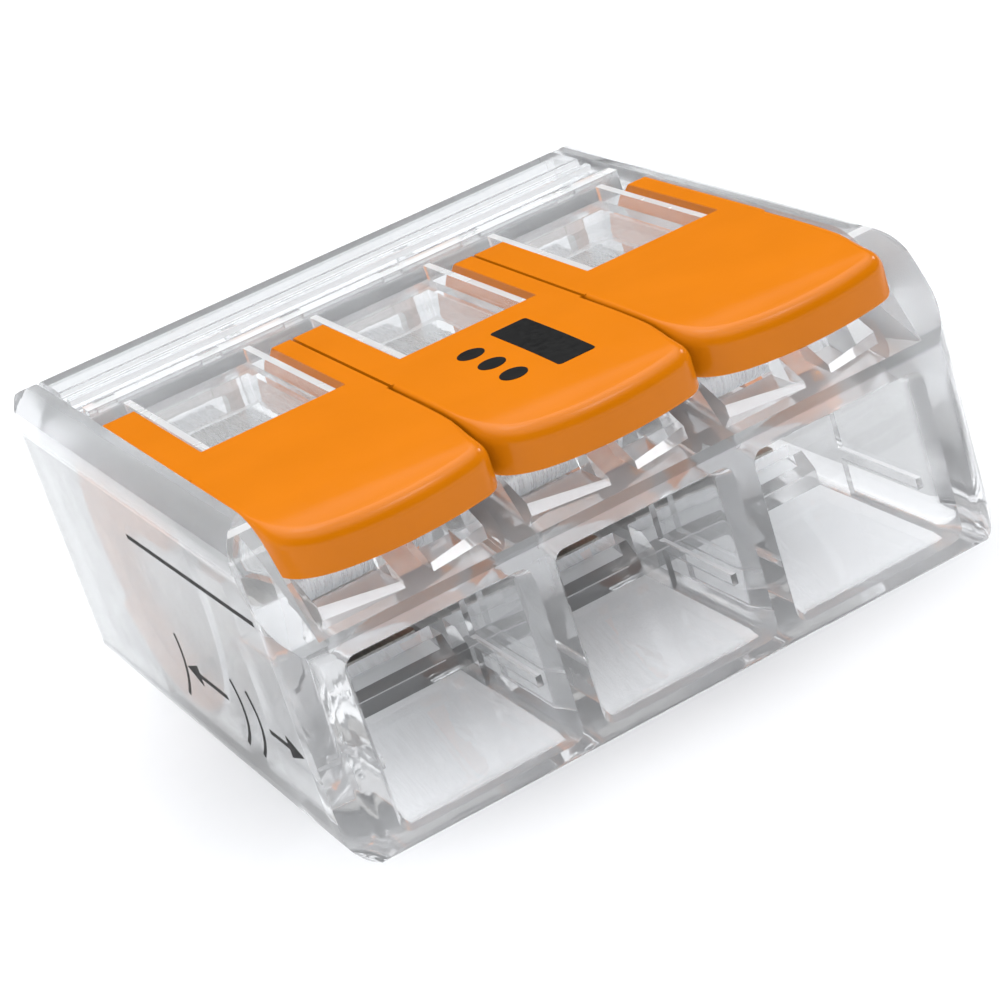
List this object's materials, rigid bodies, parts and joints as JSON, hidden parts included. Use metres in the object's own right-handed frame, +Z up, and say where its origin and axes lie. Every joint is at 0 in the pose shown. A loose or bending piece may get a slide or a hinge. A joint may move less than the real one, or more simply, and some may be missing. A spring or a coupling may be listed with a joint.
{
  "type": "lever wire connector",
  "caption": "Compact splicing connector: clear housing, side-by-side wire entries, orange levers that open spring clamps on a shared current bar.",
  "frame": {"origin": "middle of the bottom face, on the surface that the connector rests on", "axes": "+X across the wires from the left pole to the right one, +Y from the wire entries to the rear cover, +Z up towards the levers"},
  "size_m": [0.0188, 0.0186, 0.0083],
  "materials": {
    "clear_housing": "clear polycarbonate, moulded",
    "clear_cover": "clear polycarbonate, moulded",
    "lever_orange": "satin moulded plastic",
    "tinned_copper": "tin-plated copper strip",
    "spring_steel": "rolled stainless spring strip"
  },
  "bodies": {
    "shell": {"housing": "clear_housing", "rear_cover": "clear_cover", "current_bar": "tinned_copper", "clamp_spring_left": "spring_steel", "clamp_spring_middle": "spring_steel", "clamp_spring_right": "spring_steel"},
    "left_lever": {"lever_left": "lever_orange"},
    "middle_lever": {"lever_middle": "lever_orange"},
    "right_lever": {"lever_right": "lever_orange"},
    "left_clamp": {"clamp_leg_left": "spring_steel"},
    "middle_clamp": {"clamp_leg_middle": "spring_steel"},
    "right_clamp": {"clamp_leg_right": "spring_steel"}
  },
  "joints": [
    {"name": "left_lever_hinge", "type": "hinge", "parent": "shell", "child": "left_lever", "pos_m": [-0.0056, 0.001, 0.0054], "axis": [-1, 0, 0], "range_deg": [0, 90]},
    {"name": "middle_lever_hinge", "type": "hinge", "parent": "shell", "child": "middle_lever", "pos_m": [0, 0.001, 0.0054], "axis": [-1, 0, 0], "range_deg": [0, 90]},
    {"name": "right_lever_hinge", "type": "hinge", "parent": "shell", "child": "right_lever", "pos_m": [0.0056, 0.001, 0.0054], "axis": [-1, 0, 0], "range_deg": [0, 90]},
    {"name": "left_clamp_flex", "type": "hinge", "parent": "shell", "child": "left_clamp", "pos_m": [-0.0056, -0.0038, 0.0051], "axis": [1, 0, 0], "range_deg": [0, 25]},
    {"name": "middle_clamp_flex", "type": "hinge", "parent": "shell", "child": "middle_clamp", "pos_m": [0, -0.0038, 0.0051], "axis": [1, 0, 0], "range_deg": [0, 25]},
    {"name": "right_clamp_flex", "type": "hinge", "parent": "shell", "child": "right_clamp", "pos_m": [0.0056, -0.0038, 0.0051], "axis": [1, 0, 0], "range_deg": [0, 25]}
  ],
  "couplings": [
    {"joint": "left_clamp_flex", "follows": "left_lever_hinge", "ratio": 0.27778},
    {"joint": "middle_clamp_flex", "follows": "middle_lever_hinge", "ratio": 0.27778},
    {"joint": "right_clamp_flex", "follows": "right_lever_hinge", "ratio": 0.27778}
  ]
}
